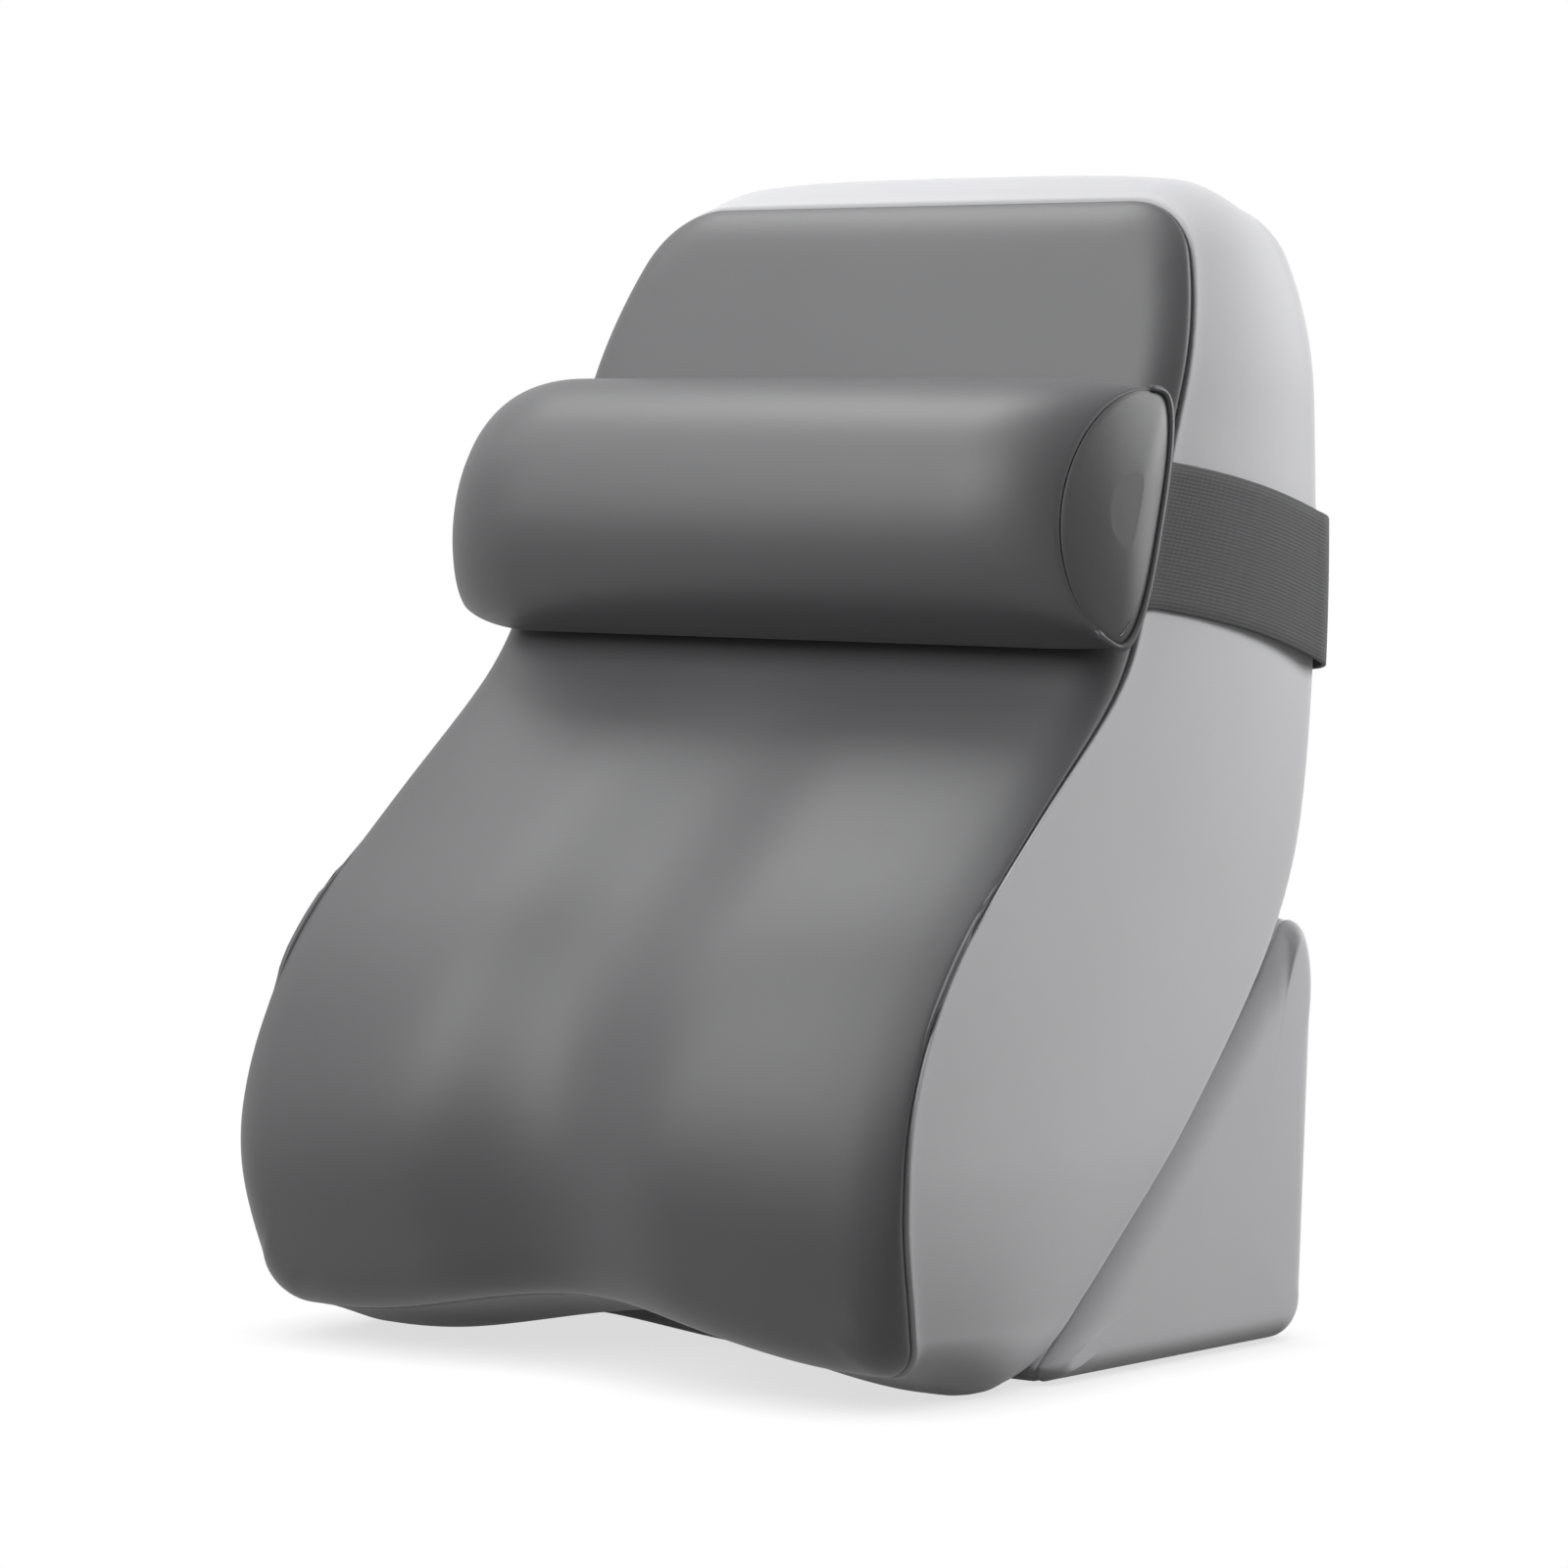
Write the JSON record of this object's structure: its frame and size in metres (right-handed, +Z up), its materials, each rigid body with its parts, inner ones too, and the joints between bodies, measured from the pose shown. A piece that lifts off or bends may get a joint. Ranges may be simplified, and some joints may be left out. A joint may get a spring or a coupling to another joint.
{
  "type": "chair headrest attachment",
  "caption": "Free-standing back cushion with a waisted front, a neck roll held by an elastic strap, and a removable wedge behind the hips.",
  "frame": {"origin": "on the floor, under the middle of the overall width and depth", "axes": "+Z up the backrest, +Y from the face that the user leans on towards the wedge, +X to the user's left as they lean back"},
  "size_m": [0.464, 0.4136, 0.6183],
  "materials": {
    "foam": "open-cell polyurethane foam",
    "dark_knit": "fine matt knit, dark grey",
    "light_knit": "fine matt knit, light grey",
    "elastic": "woven elastic, dark grey",
    "grip": "hook-and-loop strip, dark grey",
    "zip_tape": "woven tape, mid grey",
    "zip_teeth": "moulded nylon, mid grey",
    "zip_metal": "die-cast zinc, satin grey"
  },
  "bodies": {
    "backrest": {"backrest_foam": "foam", "backrest_front_cover": "dark_knit", "backrest_gusset_cover": "light_knit", "backrest_back_cover": "light_knit", "backrest_loop_strips": "grip", "backrest_zip_tapes": "zip_tape", "backrest_zip_chain": "zip_teeth"},
    "backrest_zip_slider": {"backrest_zip_slider": "zip_metal"},
    "backrest_zip_pull": {"backrest_zip_pull": "zip_metal"},
    "neck_roll": {"roll_foam": "foam", "roll_tube_cover": "dark_knit", "roll_end_cap_left": "dark_knit", "roll_end_cap_right": "dark_knit", "roll_strap": "elastic"},
    "wedge": {"wedge_foam": "foam", "wedge_wrap_cover": "light_knit", "wedge_side_left": "light_knit", "wedge_side_right": "light_knit", "wedge_hook_strips": "grip", "wedge_zip_tapes": "zip_tape", "wedge_zip_chain": "zip_teeth"},
    "wedge_zip_slider": {"wedge_zip_slider": "zip_metal"},
    "wedge_zip_pull": {"wedge_zip_pull": "zip_metal"}
  },
  "joints": [
    {"name": "neck_roll_slide", "type": "slide", "parent": "backrest", "child": "neck_roll", "axis": [0, 0.4022, 0.9156], "range_m": [0, 0.06], "deforming": ["roll_strap"]},
    {"name": "wedge_slide", "type": "slide", "parent": "backrest", "child": "wedge", "axis": [0, 1, 0], "range_m": [0, 0.25]},
    {"name": "backrest_zip_slide", "type": "slide", "parent": "backrest", "child": "backrest_zip_slider", "axis": [-1, 0, 0], "range_m": [0, 0.334], "deforming": ["backrest_zip_chain"]},
    {"name": "backrest_zip_pull_hinge", "type": "hinge", "parent": "backrest_zip_slider", "child": "backrest_zip_pull", "pos_m": [0.1665, 0.18463, 0.29962], "axis": [0, -0.2217, -0.9751], "range_deg": [0, 170]},
    {"name": "wedge_zip_slide", "type": "slide", "parent": "wedge", "child": "wedge_zip_slider", "axis": [-1, 0, 0], "range_m": [0, 0.302], "deforming": ["wedge_zip_chain"]},
    {"name": "wedge_zip_pull_hinge", "type": "hinge", "parent": "wedge_zip_slider", "child": "wedge_zip_pull", "pos_m": [0.1505, 0.17308, 0.06191], "axis": [0, -0.0558, -0.9984], "range_deg": [0, 170]}
  ]
}
